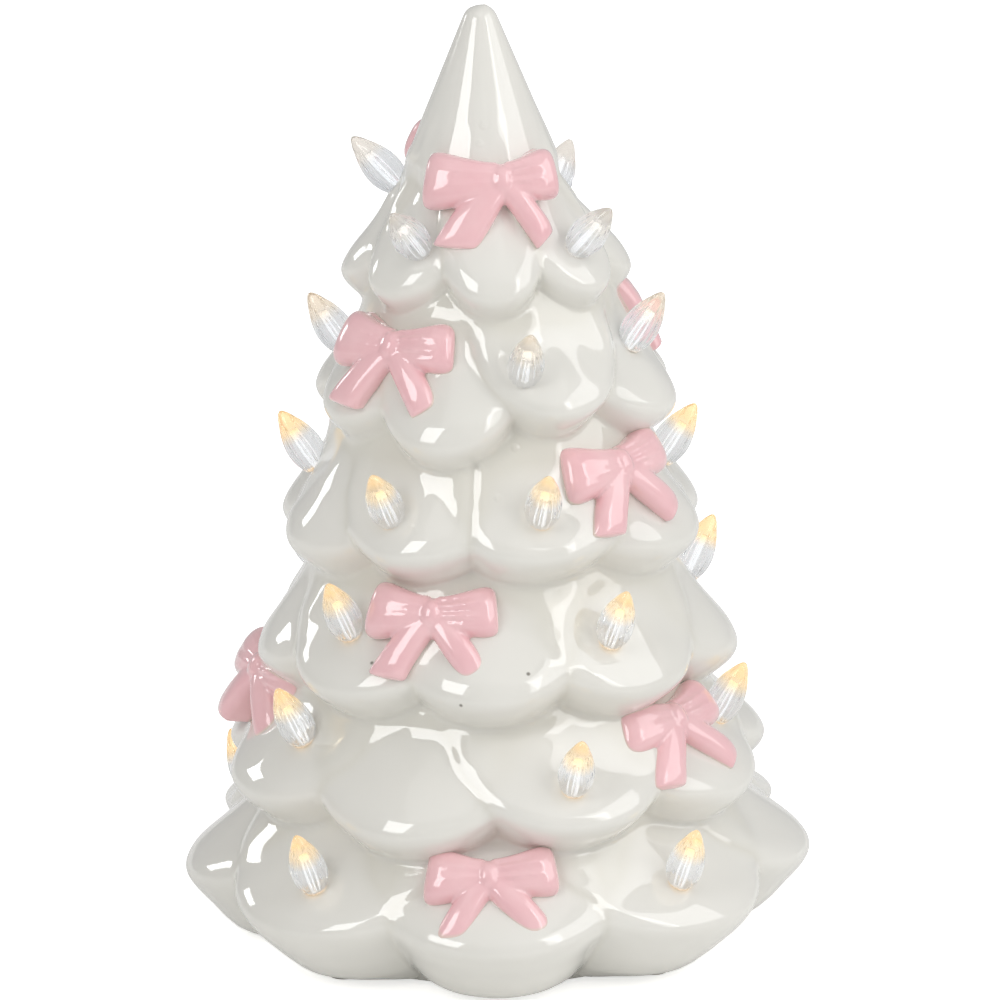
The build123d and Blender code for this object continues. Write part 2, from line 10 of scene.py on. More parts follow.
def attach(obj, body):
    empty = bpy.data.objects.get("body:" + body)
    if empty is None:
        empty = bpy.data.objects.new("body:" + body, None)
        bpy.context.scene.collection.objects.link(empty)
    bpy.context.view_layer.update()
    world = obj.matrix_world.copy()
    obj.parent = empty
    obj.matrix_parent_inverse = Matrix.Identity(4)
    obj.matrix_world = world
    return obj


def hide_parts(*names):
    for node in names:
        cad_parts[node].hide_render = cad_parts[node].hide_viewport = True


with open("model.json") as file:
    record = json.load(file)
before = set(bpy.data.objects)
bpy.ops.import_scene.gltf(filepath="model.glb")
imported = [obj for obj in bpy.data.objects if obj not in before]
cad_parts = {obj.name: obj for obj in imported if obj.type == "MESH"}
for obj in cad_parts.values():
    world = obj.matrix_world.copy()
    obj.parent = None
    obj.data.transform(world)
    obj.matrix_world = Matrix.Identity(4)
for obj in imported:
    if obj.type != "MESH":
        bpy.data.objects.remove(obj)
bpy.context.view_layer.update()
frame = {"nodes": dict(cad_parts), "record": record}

mm = 0.001
scene = bpy.context.scene


# Small helpers for work in object and edit mode
def deselectAll():
    if bpy.context.object and bpy.context.object.mode != "OBJECT":
        bpy.ops.object.mode_set(mode="OBJECT")
    bpy.ops.object.select_all(action="DESELECT")


def takeUp(piece):
    deselectAll()
    piece.select_set(True)
    bpy.context.view_layer.objects.active = piece


def applyModifier(piece, kind, name, **values):
    takeUp(piece)
    modifier = piece.modifiers.new(name, kind)
    for key, value in values.items():
        setattr(modifier, key, value)
    bpy.ops.object.modifier_apply(modifier=modifier.name)


def lathe(name, profile, steps):
    # a ring of edges is laid along the profile, the edge on the axis goes, and the rest is spun
    deselectAll()
    bpy.ops.mesh.primitive_circle_add(vertices=len(profile), radius=1, fill_type="NOTHING")
    piece = bpy.context.object
    piece.name = name
    for vert, (radius, height) in zip(piece.data.vertices, profile):
        vert.co = (radius * mm, 0, height * mm)
    bpy.ops.object.mode_set(mode="EDIT")
    bpy.ops.mesh.select_mode(type="EDGE")
    bpy.ops.mesh.select_all(action="DESELECT")
    work = bmesh.from_edit_mesh(piece.data)
    for edge in work.edges:
        edge.select = all(abs(vert.co.x) < 1e-7 for vert in edge.verts)
    bmesh.update_edit_mesh(piece.data)
    bpy.ops.mesh.delete(type="EDGE")
    bpy.ops.mesh.select_all(action="SELECT")
    bpy.ops.mesh.spin(steps=steps, angle=2 * math.pi, center=(0, 0, 0), axis=(0, 0, 1))
    bpy.ops.mesh.select_all(action="SELECT")
    bpy.ops.mesh.remove_doubles(threshold=1e-6)
    bpy.ops.mesh.normals_make_consistent(inside=False)
    bpy.ops.object.mode_set(mode="OBJECT")
    return piece


def readPoints(piece):
    flat = np.empty(len(piece.data.vertices) * 3)
    piece.data.vertices.foreach_get("co", flat)
    return flat.reshape(-1, 3) / mm


def writePoints(piece, points):
    piece.data.vertices.foreach_set("co", (points * mm).ravel())
    piece.data.update()


def keepValues(piece, name, values):
    layer = piece.data.attributes.new(name, "FLOAT", "POINT")
    layer.data.foreach_set("value", np.asarray(values, dtype=np.float32))


def copyOf(piece, name):
    twin = piece.copy()
    twin.data = piece.data.copy()
    twin.name = name
    scene.collection.objects.link(twin)
    return twin


def easedCurve(points):
    # a fine table of an eased line through given points
    xs = np.array([row[0] for row in points], dtype=float)
    ys = np.array([row[1] for row in points], dtype=float)
    slopes = np.gradient(ys, xs)
    fine = np.linspace(xs[0], xs[-1], 2400)
    at = np.clip(np.searchsorted(xs, fine, side="right") - 1, 0, len(xs) - 2)
    span = xs[at + 1] - xs[at]
    t = (fine - xs[at]) / span
    value = (2 * t**3 - 3 * t**2 + 1) * ys[at] + (t**3 - 2 * t**2 + t) * span * slopes[at]
    value += (3 * t**2 - 2 * t**3) * ys[at + 1] + (t**3 - t**2) * span * slopes[at + 1]
    return fine, value


def easeStep(value, low, high):
    t = np.clip((value - low) / (high - low), 0, 1)
    return t * t * (3 - 2 * t)


# Camera at the photograph's viewing angle, in front of the tree and above it
cameraSet = {"elevation": 17.5, "distance": 3.5, "pixelsPerMm": 3.6,
             "originPixel": (498, 921), "lean": 0.8, "frame": 1000, "sensor": 36}


def placeCamera():
    raised = math.radians(cameraSet["elevation"])
    lean = math.radians(cameraSet["lean"])
    ahead = Vector((0, math.cos(raised), -math.sin(raised)))
    levelUp = Vector((0, math.sin(raised), math.cos(raised)))
    levelRight = Vector((1, 0, 0))
    right = levelRight * math.cos(lean) - levelUp * math.sin(lean)
    up = levelUp * math.cos(lean) + levelRight * math.sin(lean)
    column, row = cameraSet["originPixel"]
    scale = cameraSet["pixelsPerMm"] / mm
    middle = cameraSet["frame"] / 2
    place = -ahead * cameraSet["distance"] + right * (middle - column) / scale + up * (row - middle) / scale
    data = bpy.data.cameras.new("photoCamera")
    data.sensor_width = cameraSet["sensor"]
    data.lens = scale * cameraSet["distance"] * cameraSet["sensor"] / cameraSet["frame"]
    data.clip_end = 50
    camera = bpy.data.objects.new("photoCamera", data)
    axes = Matrix((right, up, -ahead)).transposed().to_4x4()
    camera.matrix_world = Matrix.Translation(place) @ axes
    scene.collection.objects.link(camera)
    scene.camera = camera


placeCamera()
print("stage: camera")


# Tree casting: a lathed shell whose branches are pulled out tier by tier. Lengths in millimetres.
# Each branch: degrees from the front, share of the tier's reach, how far its tip droops.
treeForm = {
    "height": 263.8,
    "noseRadius": 4.9,
    "noseSlope": 0.405,
    "noseHold": 20.5,
    "lean": -1.4,
    "footHeight": 1.0,
    "columns": 320,
    "rows": 280,
    "branchBlend": 1.0,
    "tierBlend": 0.8,
    "recessRadius": 54.95,
    "ledgeRadius": 49.9,
    "ledgeHeights": (6.0, 10.0),
    "archLift": 1.6,
    "softening": 5,
    "swell": 0.26,
    "hollows": (0.04, 0.34),
    # inside wall: radius and rise over the ledge where it starts, then radius and height
    "insideStart": (55, 0.5),
    "inside": ((57, 20), (58, 35), (50, 50), (49, 80), (44, 84), (42, 114), (37, 119), (36, 150),
               (30, 156), (27, 186), (20, 192), (13, 222), (4, 245), (0, 248)),
    # waves of the casting: turns round the tree, phase per millimetre of height, phase, share
    "waves": ((5, 0.071, 0.6, 1.0), (9, -0.113, 2.1, 1.0), (14, 0.19, 4.0, 1.0), (3, -0.27, 1.3, 0.8),
              (21, -0.31, 0.4, 0.7)),
    "waveDepth": 0.45,
    # straight crease of the third tier: azimuth, width in degrees, depth, heights where it starts and ends
    "line": {"azimuth": -6.5, "width": 1.7 / 0.95, "depth": 3.4, "foot": (119, 127), "head": (146, 153)},
    "slope": ((-0.4, 1.0), (0, 1.0), (0.10, 0.925), (0.22, 0.79), (0.41, 0.56), (0.60, 0.365),
              (1.0, 0.0), (1.4, -0.4), (9.0, -9.0)),
    "valley": ((-0.4, 0.69), (0, 0.69), (0.12, 0.65), (0.26, 0.575), (0.42, 0.455), (0.60, 0.322),
               (1.0, 0.0), (1.4, -0.4), (9.0, -9.0)),
    "under": ((-1, 0), (0, 0), (2, 0.3), (4.5, 1.6), (8, 5.0), (11.5, 9.6), (16, 16), (26, 32)),
    "underValley": ((-1, 0), (0, 0), (4, 2.6), (8, 7), (12, 12), (26, 30)),
    "underFoot": ((-1, 0), (0, 0), (2, 0.7), (5, 2.6), (9.2, 5.6), (16.5, 12.0), (18.8, 15.0), (20.2, 19.5), (24, 26)),
    "underFootValley": ((-1, 0), (0, 0), (9, 6), (17, 14.5), (20.2, 18.5), (24, 24)),
    "tiers": (
        {"tip": 190.2, "cleft": 0.66, "radius": 39.1, "neck": 6.0, "crown": 236.0, "scallop": 4.5, "branches": (
            (3, 1.0, 3.2), (50, 1.0, 2.8), (97, 0.99, 0), (140, 1.0, 0.5), (183, 1.0, -0.5), (226, 1.0, 0),
            (265, 1.03, 0), (312, 1.0, 2.4))},
        {"tip": 154.8, "cleft": 0.86, "radius": 51.9, "neck": 28.2, "crown": 190.5, "scallop": 4.0, "branches": (
            (25, 0.98, 8.5), (73, 1.0, 1), (118, 1.0, 0), (163, 1.0, 1), (208, 1.0, -1), (252, 0.95, 0),
            (298, 0.95, 2), (343, 1.0, -0.5))},
        {"tip": 119.0, "cleft": 0.80, "radius": 59.2, "neck": 37.4, "crown": 155.5, "scallop": 1.6, "branches": (
            (14, 1.0, 6.2), (66, 1.0, 1), (113, 1.0, 0), (158, 1.0, 1), (203, 1.0, 0), (252, 1.0, 0),
            (294, 1.0, 1), (333, 1.0, 6.0))},
        {"tip": 83.6, "cleft": 0.86, "radius": 66.8, "neck": 43.0, "crown": 119.5, "scallop": 2.6, "branches": (
            (41, 1.0, 2.5), (86, 1.0, 0), (123, 1.0, 0.5), (165, 1.0, 0), (200, 1.0, 1), (237, 1.0, 0),
            (274, 0.98, 0), (318, 1.0, 2.5), (358, 1.0, 3.5))},
        {"tip": 51.9, "cleft": 0.86, "radius": 76.1, "neck": 48.1, "crown": 84.0, "scallop": 3.5, "branches": (
            (19, 1.0, 2.0), (63, 1.0, 0), (106, 1.0, 0), (150, 1.0, 1), (195, 1.0, 0), (248, 1.0, -0.5),
            (294, 1.0, 0), (338, 1.0, -1))},
        {"tip": 21.2, "cleft": 0.90, "radius": 86.5, "neck": 54.8, "crown": 52.5, "scallop": 4.0,
         "tucks": {45: 2.0, 122: -8, 238: -8, 315: 2.0}, "branches": (
            (0, 0.99, 0), (45, 1.0, 0), (90, 1.0, 2), (122, 1.0, 5), (180, 1.0, 0), (238, 1.0, 5),
            (270, 1.0, -1.5), (315, 1.0, 0))},
    ),
}


def noseRadius(height):
    ball = treeForm["noseRadius"]
    slope = treeForm["noseSlope"]
    slant = math.atan(slope)
    centre = treeForm["height"] - ball
    touchRadius, touchHeight = ball * math.cos(slant), centre + ball * math.sin(slant)
    cone = touchRadius + (touchHeight - height) * slope
    cap = np.sqrt(np.clip(ball**2 - (height - centre) ** 2, 0, None))
    return np.minimum(np.where(height > touchHeight, cap, cone), treeForm["noseHold"])


def softMost(values, blend):
    top = values.max(axis=0)
    return top + blend * np.log(np.exp((values - top) / blend).sum(axis=0))


def tierRadius(tier, azimuth, height, last):
    # radius of one tier at each azimuth and height, and how deep each point lies in a crease
    slope, valley = easedCurve(treeForm["slope"]), easedCurve(treeForm["valley"])
    under = easedCurve(treeForm["underFoot" if last else "under"])
    underValley = easedCurve(treeForm["underFootValley" if last else "underValley"])
    turns = [branch[0] for branch in tier["branches"]]
    lobes = []
    for index, (turn, share, droop) in enumerate(tier["branches"]):
        before = (turn - turns[index - 1]) % 360 / 2
        after = (turns[(index + 1) % len(turns)] - turn) % 360 / 2
        away = (azimuth - turn + 180) % 360 - 180
        side = np.clip(np.where(away > 0, away / after, away / before), -1.8, 1.8)
        tip = tier["tip"] + droop + tier["scallop"] * side**2
        rise = np.clip((height - tip) / (tier["crown"] - tip), -0.4, 9)
        drop = np.clip(tip - height, -1, 26)
        reach = tier["radius"] * share - tier["neck"]
        beyond = np.clip(np.abs(side) - 1, 0, 1)
        wide = np.sin(math.pi / 2 * np.clip(side, -1, 1)) ** 2 + 6 * beyond**2  # creases open into hollows up the slope
        fall = side**2 + (wide - side**2) * easeStep(rise, *treeForm["hollows"])
        ridge = np.interp(rise, *slope) * reach - np.interp(drop, *under)
        ridge = ridge - tier.get("tucks", {}).get(turn, 0) * easeStep(drop, 7, 19)
        groove = np.interp(rise, *valley) * reach - np.interp(drop, *underValley)
        lobes.append(tier["neck"] + ridge - fall * tier["cleft"] * (ridge - groove))
    lobes = np.array(lobes)
    soft = softMost(lobes, treeForm["branchBlend"])
    return soft, soft - lobes.max(axis=0)


def treeRadius(azimuth, height):
    tiers = treeForm["tiers"]
    found = [tierRadius(tier, azimuth, height, tier is tiers[-1]) for tier in tiers]
    layers = np.array([noseRadius(height)] + [radius for radius, _ in found])
    soft = softMost(layers, treeForm["tierBlend"])
    creases = np.array([np.zeros_like(height)] + [crease for _, crease in found])
    crease = np.take_along_axis(creases, layers.argmax(axis=0)[None], 0)[0] / treeForm["branchBlend"]
    crease = np.maximum(crease, (soft - layers.max(axis=0)) / treeForm["tierBlend"])
    return soft, np.clip(crease / math.log(2), 0, 1)


def treeLean(height):
    return treeForm["lean"] * easeStep(height, 190, 235)


def treePoint(azimuth, height):
    # point on the glazed surface, for what sits on it
    turn = math.radians(azimuth)
    radius = treeRadius(np.array([azimuth], dtype=float), np.array([height], dtype=float))[0][0]
    return Vector((radius * math.sin(turn) + float(treeLean(np.array([height]))[0]), -radius * math.cos(turn), height))


def castUnevenness(azimuth, height):
    # slow waves of a hand-finished casting, and the straight crease of the third tier
    turn, line = np.radians(azimuth), treeForm["line"]
    waves = sum(share * np.sin(turns * turn + rise * height + phase) for turns, rise, phase, share in treeForm["waves"])
    groove = np.exp(-(((azimuth - line["azimuth"]) / line["width"]) ** 2))
    groove = groove * easeStep(height, *line["foot"]) * (1 - easeStep(height, *line["head"]))
    return waves * treeForm["waveDepth"] * easeStep(-height, -244, -215) - line["depth"] * groove


def seatOf(node):
    # axis of a light peg from its solid: tip, and the way it points
    mesh = frame["nodes"][node].data
    points = np.array([vert.co for vert in mesh.vertices]) / mm
    middle = points.mean(axis=0)
    way = np.linalg.eigh(np.cov((points - middle).T))[1][:, -1]
    if way @ np.array((middle[0], middle[1], 40)) < 0:
        way = -way
    along = (points - middle) @ way
    return middle + way * along.max(), way


def makeTree(pegs):
    top, foot = treeForm["height"], treeForm["footHeight"]
    heights = top - (top - foot) * np.linspace(0, 1, treeForm["rows"]) ** 1.08
    profile = [(0, top)] + [(120, height) for height in heights[1:]]
    ledgeLow, ledgeHigh = treeForm["ledgeHeights"]
    profile += [(treeForm["recessRadius"], foot), (treeForm["recessRadius"], ledgeLow)]
    profile += [(treeForm["ledgeRadius"], ledgeLow), (treeForm["ledgeRadius"], ledgeHigh)]
    startRadius, startRise = treeForm["insideStart"]
    profile += [(startRadius, ledgeHigh + startRise), *treeForm["inside"]]
    tree = lathe("treeShell", profile, treeForm["columns"])
    points = readPoints(tree)
    outside = np.hypot(points[:, 0], points[:, 1]) > 100
    azimuth = np.degrees(np.arctan2(points[outside, 0], -points[outside, 1]))
    height = points[outside, 2]
    radius, crease = treeRadius(azimuth, height)
    turn = np.radians(azimuth)
    shaped = np.stack((radius * np.sin(turn), -radius * np.cos(turn), height), axis=1)
    for tip, axis in pegs:  # the glaze meets each light peg at its seat
        seat = tip - axis * bulbForm["length"]
        seatTurn = math.degrees(math.atan2(seat[0], -seat[1]))
        here = treeRadius(np.array([seatTurn]), np.array([seat[2]]))[0][0]
        lack = math.hypot(seat[0], seat[1]) + 0.4 - here
        way = math.radians(seatTurn)
        middle = np.array((here * math.sin(way), -here * math.cos(way), seat[2]))
        far = np.linalg.norm(shaped - middle, axis=1)
        radius = radius + np.clip(lack, -3, 3) * np.exp(-((far / 8.5) ** 2))
    radius = radius + treeForm["swell"] * castUnevenness(azimuth, height)
    arch = treeForm["archLift"] * crease * easeStep(-height, -9, -1)
    points[outside, 0] = radius * np.sin(turn) + treeLean(height)
    points[outside, 1] = -radius * np.cos(turn)
    points[outside, 2] = height + arch
    writePoints(tree, points)
    # crease depth kept for the glaze colour: partly real glaze pooling, partly painted shade in the creases and under
    # the tiers
    poolAndShade = np.zeros(len(points))
    poolAndShade[outside] = crease
    keepValues(tree, "glazePool", poolAndShade)
    rims = tree.vertex_groups.new(name="rims")
    easy = np.round(20 * np.clip(1 - 1.6 * poolAndShade, 0, 1)).astype(int) * outside
    for step in range(1, 21):
        rims.add([int(index) for index in np.nonzero(easy == step)[0]], step / 20, "REPLACE")
    applyModifier(tree, "SMOOTH", "glazeRounded", factor=0.5, iterations=treeForm["softening"], vertex_group="rims")
    tree.vertex_groups.clear()
    takeUp(tree)
    bpy.ops.object.shade_smooth()
    return tree


# Light pegs: a clear flame with soft flutes that fade towards the tip, on a stem with a blind bore
bulbForm = {
    "length": 18.5,
    "stemLength": 11.8,
    "stemRadius": 2.3,
    "flame": ((0, 3.5), (0.12, 4.45), (0.33, 5.1), (0.52, 4.62), (0.68, 3.66), (0.82, 2.5), (0.93, 1.42), (0.98, 0.72)),
    "ribs": 16,
    "ribDepth": 0.11,
    "ribFade": (0.60, 0.86),
    "boreRadius": 1.3,
    "boreDepth": 0.66,
}


def makeBulb():
    length = bulbForm["length"]
    fine, radii = easedCurve(bulbForm["flame"])
    shares = np.linspace(0, 0.98, 26)
    profile = [(0, length)]
    profile += [(float(np.interp(share, fine, radii)), share * length) for share in shares[::-1]]
    profile += [(bulbForm["stemRadius"], 0), (bulbForm["stemRadius"], -bulbForm["stemLength"])]
    bore = bulbForm["boreRadius"]
    end = bulbForm["boreDepth"] * length
    profile += [(bore, -bulbForm["stemLength"]), (bore * 0.7, end * 0.5), (bore * 0.75, end - 2.2 * bore)]
    profile += [(bore, end - 1.5 * bore), (bore, end - 0.8 * bore), (bore * 0.75, end - 0.3 * bore)]
    profile += [(bore * 0.35, end - 0.05), (0, end)]
    bulb = lathe("bulbMaster", profile, bulbForm["ribs"] * 6)
    points = readPoints(bulb)
    reach = np.hypot(points[:, 0], points[:, 1])
    share = points[:, 2] / length
    inside = reach < bore * 1.15
    inside &= share < bulbForm["boreDepth"] + 0.01
    low, high = bulbForm["ribFade"]
    depth = bulbForm["ribDepth"] * easeStep(share, 0.0, 0.10) * (1 - easeStep(share, low, high)) * ~inside
    turn = np.arctan2(points[:, 1], points[:, 0])
    dent = 1 - depth * (0.5 - 0.5 * np.cos(turn * bulbForm["ribs"]))
    points[:, :2] *= dent[:, None]
    writePoints(bulb, points)
    keepValues(bulb, "pegCore", inside)
    takeUp(bulb)
    bpy.ops.object.shade_smooth()
    return bulb


# Bows: two puffed loops with pleats, a knot and two tails, pressed onto the slopes
bowForm = {
    # rows from the knot outwards: place along, middle, half width, depth
    "leftLoop": ((0.6, 0.3, 4.5, 4.7), (4.0, 0.2, 4.9, 5.3), (7.6, 0.0, 5.8, 5.9), (11.2, -0.2, 6.8, 6.1),
                 (14.4, -0.3, 7.4, 5.7), (16.6, -0.3, 7.2, 4.7), (17.8, -0.3, 6.1, 3.0)),
    "rightLoop": ((0.6, 0.4, 4.4, 4.7), (4.0, 0.5, 4.7, 5.3), (7.6, 0.6, 5.4, 5.9), (11.0, 0.7, 6.2, 6.1),
                  (14.0, 0.8, 6.6, 5.7), (16.2, 0.8, 6.3, 4.7), (17.4, 0.8, 5.2, 3.0)),
    "leftTail": ((1.2, -1.5, 3.6, 4.4), (4.2, -5.6, 4.0, 4.7), (6.8, -10.2, 4.2, 4.6),
                 (8.6, -14.2, 4.3, 4.2), (9.8, -17.2, 4.1, 3.2)),
    "rightTail": ((1.4, -1.5, 3.4, 4.4), (4.8, -5.4, 3.7, 4.7), (8.0, -9.6, 3.8, 4.6),
                  (10.2, -13.2, 3.7, 4.1), (11.4, -16.0, 3.3, 3.0)),
    "knot": (3.2, 4.3, 5.6),
    "pleats": ((0.52, 0.13, 1.0), (0.03, 0.13, 1.1), (-0.46, 0.14, 1.0)),
    "leftPleat": 0.4,
    "tall": 1.09,
    "voxel": 0.45,
}
# node, degrees from the front, height, lift of the face above level, degrees it faces, bend radius,
# shift of its knot, standoff
bowPlaces = (
    ("bow_01", 6, 219.4, 27, 2, 42, 2.6, 0),
    ("bow_02", -166, 220.8, 27, -170, 16, 0, -1.2),
    ("bow_03", -42, 175.0, 32, -32, 42, 0, 0),
    ("bow_04", 122, 177.4, 34, 120, 38, 0, 0),
    ("bow_05", 47, 141.6, 32, 44, 42, 0, 0),
    ("bow_06", -140, 138.3, 32, -140, 42, 0, 0),
    ("bow_07", -18, 105.6, 30, -14, 46, 0, 0),
    ("bow_08", 145, 102.6, 34, 145, 46, 0, 0),
    ("bow_09", -90, 74.6, 30, -66, 27, 0, 3.4),
    ("bow_10", 53.5, 69.6, 40, 46, 38, 0, 0),
    ("bow_11", -1, 36.6, 36, 0, 60, -1.2, 0),
    ("bow_12", 180, 34.1, 46, 180, 60, 0, 0),
)


def roundedBall(name):
    deselectAll()
    bpy.ops.mesh.primitive_uv_sphere_add(segments=40, ring_count=28, radius=1)
    ball = bpy.context.object
    ball.name = name
    return ball


def readRows(share, rows):
    # each column of a table of rows, eased along the piece
    place = np.linspace(0, 1, len(rows))
    return (np.interp(share, *easedCurve(list(zip(place, column)))) for column in zip(*rows))


def makeLoop(side):
    loop = roundedBall("bowLoop")
    ball = readPoints(loop) * mm
    share = (ball[:, 2] + 1) / 2  # the ball's poles lie at the knot and at the outer end
    ring = np.maximum(np.hypot(ball[:, 0], ball[:, 1]), 1e-6)
    across, out = ball[:, 0] / ring, ball[:, 1] / ring
    rows = bowForm["rightLoop" if side > 0 else "leftLoop"]
    x, middle, half, deep = readRows(share, rows)
    closing = np.minimum(1, np.minimum(ring * 3.0, 1))
    y = np.sign(across) * np.abs(across) ** 0.7 * half * closing
    z = np.where(out > 0, np.abs(out) ** 0.8 * deep, -np.abs(out) * (1.2 + 5.0 * (x / 18.5) ** 2)) * closing
    lateral = y / np.maximum(half, 0.1)
    strength = 1 if side > 0 else bowForm["leftPleat"]
    for centre, width, depth in bowForm["pleats"]:
        z -= (out > 0) * strength * depth * np.exp(-(((lateral - centre) / width) ** 2)) * (1 - easeStep(x, 7, 15))
    writePoints(loop, np.stack((side * x, middle + y, z), axis=1))
    return loop


def makeTail(side, cut):
    tail = roundedBall("bowTail")
    ball = readPoints(tail) * mm
    share = (ball[:, 2] + 1) / 2
    ring = np.maximum(np.hypot(ball[:, 0], ball[:, 1]), 1e-6)
    across, out = ball[:, 0] / ring, ball[:, 1] / ring
    rows = bowForm["rightTail" if side > 0 else "leftTail"]
    x, y, half, deep = readRows(share, rows)
    closing = np.minimum(ring * 3.2, 1)
    lateral = np.sign(across) * np.abs(across) ** 0.75 * half * closing
    along = cut * lateral * easeStep(share, 0.6, 1.0)
    heading = math.atan2(rows[-1][1] - rows[0][1], rows[-1][0] - rows[0][0])
    x = x - math.sin(heading) * lateral + math.cos(heading) * along
    y = y + math.cos(heading) * lateral + math.sin(heading) * along
    z = np.where(out > 0, np.abs(out) ** 0.8 * deep, -np.abs(out) * 1.2) * closing
    writePoints(tail, np.stack((side * x, y, z), axis=1))
    return tail


def makeKnot():
    knot = roundedBall("bowKnot")
    ball = readPoints(knot) * mm
    wide, tall, deep = bowForm["knot"]
    shaped = np.sign(ball) * np.abs(ball) ** 0.8 * np.array((wide, tall, deep))
    shaped[:, 2] = np.maximum(shaped[:, 2], -1.2)
    writePoints(knot, shaped)
    return knot


def makeBow():
    parts = [makeLoop(-1), makeLoop(1), makeTail(-1, 0.45), makeTail(1, -0.1), makeKnot()]
    takeUp(parts[0])
    for part in parts:
        part.select_set(True)
    bpy.ops.object.join()
    bow = bpy.context.object
    bow.name = "bowMaster"
    applyModifier(bow, "REMESH", "oneBody", mode="VOXEL", voxel_size=bowForm["voxel"] * mm)
    applyModifier(bow, "SMOOTH", "glazeSoftened", factor=0.5, iterations=6)
    takeUp(bow)
    bpy.ops.object.shade_smooth()
    return bow


def placeBow(master, node, azimuth, height, lift, face, wrap, shift, standoff):
    bow = copyOf(master, node.replace("_", "") + "Glazed")
    x, y, z = readPoints(bow).T
    x = x + shift * np.exp(-((x / 9) ** 2))
    y = y * bowForm["tall"]
    # the bow is bent back round the slope about its knot
    seat = treePoint(azimuth, height)
    seat += Vector((math.sin(math.radians(azimuth)), -math.cos(math.radians(azimuth)), 0)) * standoff
    slant, way = math.radians(lift), math.radians(face)
    above = wrap + z * math.cos(slant) - y * math.sin(slant)
    along = above * np.sin(x / wrap)
    out = above * np.cos(x / wrap) - wrap
    placed = np.stack((seat.x + out * math.sin(way) + along * math.cos(way),
                       seat.y - out * math.cos(way) + along * math.sin(way),
                       height + y * math.cos(slant) + z * math.sin(slant)), axis=1)
    # its back is filled down to the slope it is bonded to
    lean = treeLean(placed[:, 2])
    far = np.hypot(placed[:, 0] - lean, placed[:, 1])
    slope = treeRadius(np.degrees(np.arctan2(placed[:, 0] - lean, -placed[:, 1])), placed[:, 2])[0]
    near = far - np.clip(far - slope + 1, 0, None) * easeStep(-z, -0.6, 0.8)
    placed[:, 0] = (placed[:, 0] - lean) * near / far + lean
    placed[:, 1] *= near / far
    writePoints(bow, placed)
    keepValues(bow, "glazeRise", np.clip((near - slope) / 6.0, 0, 1))
    return bow


# Glazes and other finishes
def newMaterial(name):
    material = bpy.data.materials.new(name)
    material.use_nodes = True
    nodes = material.node_tree.nodes
    return material, nodes, material.node_tree.links, nodes["Principled BSDF"]


def wavyGroup():
    # slow unevenness of a fired or moulded surface: a mask and a height
    group = bpy.data.node_groups.new("surfaceUnevenness", "ShaderNodeTree")
    for name, kind, way in (("Scale", "NodeSocketFloat", "INPUT"), ("Detail", "NodeSocketFloat", "INPUT"),
                            ("Mask", "NodeSocketFloat", "OUTPUT"), ("Height", "NodeSocketFloat", "OUTPUT")):
        group.interface.new_socket(name, in_out=way, socket_type=kind)
    nodes, links = group.nodes, group.links
    start, end = nodes.new("NodeGroupInput"), nodes.new("NodeGroupOutput")
    place = nodes.new("ShaderNodeTexCoord")
    broad, fine = nodes.new("ShaderNodeTexNoise"), nodes.new("ShaderNodeTexNoise")
    finer = nodes.new("ShaderNodeMath")
    finer.operation = "MULTIPLY"
    finer.inputs[1].default_value = 3.7
    links.new(place.outputs["Object"], broad.inputs["Vector"])
    links.new(place.outputs["Object"], fine.inputs["Vector"])
    links.new(start.outputs["Scale"], broad.inputs["Scale"])
    links.new(start.outputs["Scale"], finer.inputs[0])
    links.new(finer.outputs[0], fine.inputs["Scale"])
    links.new(start.outputs["Detail"], broad.inputs["Detail"])
    fine.inputs["Detail"].default_value = 0.5
    links.new(broad.outputs["Fac"], end.inputs["Mask"])
    links.new(fine.outputs["Fac"], end.inputs["Height"])
    return group


unevenness = wavyGroup()


def addUnevenness(nodes, scale, detail):
    node = nodes.new("ShaderNodeGroup")
    node.node_tree = unevenness
    node.inputs["Scale"].default_value = scale
    node.inputs["Detail"].default_value = detail
    return node


def addRamp(nodes, links, source, stops):
    ramp = nodes.new("ShaderNodeValToRGB")
    while len(ramp.color_ramp.elements) < len(stops):
        ramp.color_ramp.elements.new(0.5)
    for element, (place, colour) in zip(ramp.color_ramp.elements, stops):
        element.position = place
        element.color = (*colour, 1)
    links.new(source, ramp.inputs["Fac"])
    return ramp


def addBump(nodes, links, height, shader, distance):
    bump = nodes.new("ShaderNodeBump")
    bump.inputs["Distance"].default_value = distance
    bump.inputs["Strength"].default_value = 1.0
    links.new(height, bump.inputs["Height"])
    links.new(bump.outputs["Normal"], shader.inputs["Normal"])


def mixColours(nodes, links, factor, first, second):
    mix = nodes.new("ShaderNodeMix")
    mix.data_type = "RGBA"
    links.new(factor, mix.inputs["Factor"])
    for socket, value in ((mix.inputs["A"], first), (mix.inputs["B"], second)):
        if isinstance(value, tuple):
            socket.default_value = (*value, 1)
        else:
            links.new(value, socket)
    return mix.outputs["Result"]


def attributeValue(nodes, name):
    node = nodes.new("ShaderNodeAttribute")
    node.attribute_name = name
    return node.outputs["Fac"]


# Small faults of the white glaze: degrees from the front, height, size in millimetres
glazeBlisters = ((2, 234.0, 1.5), (-2, 229.4, 1.4), (-4, 146, 1.6), (9, 150.5, 1.5), (2, 138.5, 1.4))
glazeSpecks = ((-33, 93, 0.8), (8.5, 92.5, 0.8), (-8, 85, 0.8))


